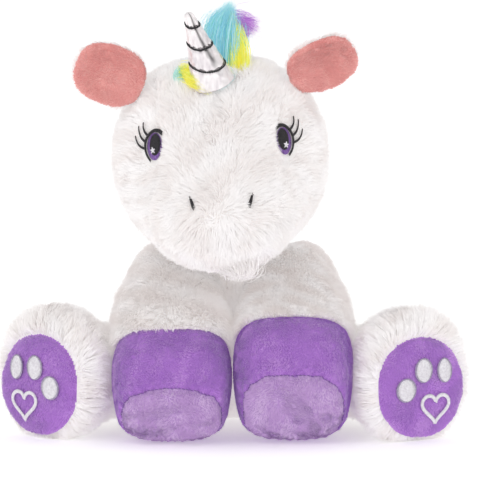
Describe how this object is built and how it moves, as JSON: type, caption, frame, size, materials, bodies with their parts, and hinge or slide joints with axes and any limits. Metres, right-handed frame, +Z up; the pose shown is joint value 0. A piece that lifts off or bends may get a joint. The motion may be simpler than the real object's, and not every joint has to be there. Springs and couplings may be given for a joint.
{
  "type": "plush unicorn",
  "caption": "Seated plush unicorn with stuffed limbs, turning head, soft horn, floppy ears and a fibre mane and tail.",
  "frame": {"origin": "centre of the bounding box on the plane that the toy sits on", "axes": "+Z up, the face looks along -Y, +X is the toy's own left side"},
  "size_m": [0.3134, 0.2299, 0.2894],
  "materials": {
    "white_fur": "long white pile, 6 to 8 mm",
    "stuffing": "polyester fibre filling",
    "bean_bag_cloth": "woven cotton bag of plastic beans",
    "eye_embroidery": "satin stitch, purple and black",
    "black_thread": "black embroidery thread",
    "pink_plush": "short pile, pink",
    "silver_lame": "metallic foil cloth, soft wrinkles",
    "purple_plush": "short pile with sheen, purple",
    "lilac_plush": "short pile with sheen, lilac",
    "white_thread": "satin stitch, white",
    "blue_fibre": "long glossy fibre, sky blue",
    "yellow_fibre": "long glossy fibre, yellow",
    "purple_fibre": "long glossy fibre, purple",
    "teal_fibre": "long glossy fibre, teal"
  },
  "bodies": {
    "body": {"body_side_left": "white_fur", "body_side_right": "white_fur", "belly_panel": "white_fur", "back_panel": "white_fur", "seat_panel": "white_fur", "body_stuffing": "stuffing", "bean_bag": "bean_bag_cloth"},
    "neck": {"neck_stuffing": "stuffing"},
    "head": {"head_side_left": "white_fur", "head_side_right": "white_fur", "head_centre_panel": "white_fur", "head_back_panel": "white_fur", "head_stuffing": "stuffing", "eye_left": "eye_embroidery", "eye_right": "eye_embroidery", "lashes_left": "black_thread", "lashes_right": "black_thread", "nostril_left": "black_thread", "nostril_right": "black_thread", "mane_blue": "blue_fibre", "mane_yellow": "yellow_fibre", "mane_purple": "purple_fibre", "forelock_yellow": "yellow_fibre", "forelock_teal": "teal_fibre", "nape_teal": "teal_fibre", "nape_yellow": "yellow_fibre", "nape_blue": "blue_fibre"},
    "ear_left": {"ear_back_left": "white_fur", "ear_lining_left": "pink_plush"},
    "ear_right": {"ear_back_right": "white_fur", "ear_lining_right": "pink_plush"},
    "horn": {"horn_cover": "silver_lame", "horn_thread_rings": "black_thread", "horn_stuffing": "stuffing"},
    "front_leg_left": {"front_sleeve_left": "white_fur", "hoof_upper_left": "purple_plush", "hoof_sole_left": "lilac_plush", "front_stuffing_left": "stuffing"},
    "front_leg_right": {"front_sleeve_right": "white_fur", "hoof_upper_right": "purple_plush", "hoof_sole_right": "lilac_plush", "front_stuffing_right": "stuffing"},
    "hind_leg_left": {"hind_sleeve_left": "white_fur", "paw_pad_left": "purple_plush", "pad_embroidery_left": "white_thread", "hind_stuffing_left": "stuffing"},
    "hind_leg_right": {"hind_sleeve_right": "white_fur", "paw_pad_right": "purple_plush", "pad_embroidery_right": "white_thread", "hind_stuffing_right": "stuffing"},
    "tail": {"tail_blue": "blue_fibre", "tail_yellow": "yellow_fibre", "tail_purple": "purple_fibre"}
  },
  "joints": [
    {"name": "neck_turn", "type": "hinge", "parent": "body", "child": "neck", "pos_m": [-0.00781, -0.022, 0.182], "axis": [0, 0, 1], "range_deg": [-25, 25], "stiffness_Nm_per_rad": 1.5},
    {"name": "head_nod", "type": "hinge", "parent": "neck", "child": "head", "pos_m": [-0.00781, -0.022, 0.182], "axis": [-1, 0, 0], "range_deg": [-6, 20], "stiffness_Nm_per_rad": 2},
    {"name": "ear_flop_left", "type": "hinge", "parent": "head", "child": "ear_left", "pos_m": [0.03772, -0.049, 0.23954], "axis": [0.3651, 0.5299, -0.7654], "range_deg": [-8, 35], "stiffness_Nm_per_rad": 0.03},
    {"name": "ear_flop_right", "type": "hinge", "parent": "head", "child": "ear_right", "pos_m": [-0.05819, -0.049, 0.23535], "axis": [0.3468, -0.1392, 0.9276], "range_deg": [-8, 35], "stiffness_Nm_per_rad": 0.03},
    {"name": "horn_bend", "type": "hinge", "parent": "head", "child": "horn", "pos_m": [-0.01441, -0.05925, 0.24502], "axis": [1, 0, 0], "range_deg": [-6, 6], "stiffness_Nm_per_rad": 0.08},
    {"name": "front_leg_lift_left", "type": "hinge", "parent": "body", "child": "front_leg_left", "pos_m": [0.03569, 0.01, 0.09], "axis": [-1, 0, 0], "range_deg": [0, 12], "stiffness_Nm_per_rad": 1},
    {"name": "front_leg_lift_right", "type": "hinge", "parent": "body", "child": "front_leg_right", "pos_m": [-0.03531, 0.01, 0.09], "axis": [-1, 0, 0], "range_deg": [0, 12], "stiffness_Nm_per_rad": 1},
    {"name": "hind_leg_splay_left", "type": "hinge", "parent": "body", "child": "hind_leg_left", "pos_m": [0.06319, 0.037, 0.034], "axis": [0, 0, 1], "range_deg": [0, 25], "stiffness_Nm_per_rad": 1},
    {"name": "hind_leg_splay_right", "type": "hinge", "parent": "body", "child": "hind_leg_right", "pos_m": [-0.04831, 0.037, 0.034], "axis": [0, 0, -1], "range_deg": [0, 25], "stiffness_Nm_per_rad": 1},
    {"name": "tail_lift", "type": "hinge", "parent": "body", "child": "tail", "pos_m": [0.00519, 0.0925, 0.062], "axis": [1, 0, 0], "range_deg": [0, 45], "stiffness_Nm_per_rad": 0.02}
  ]
}
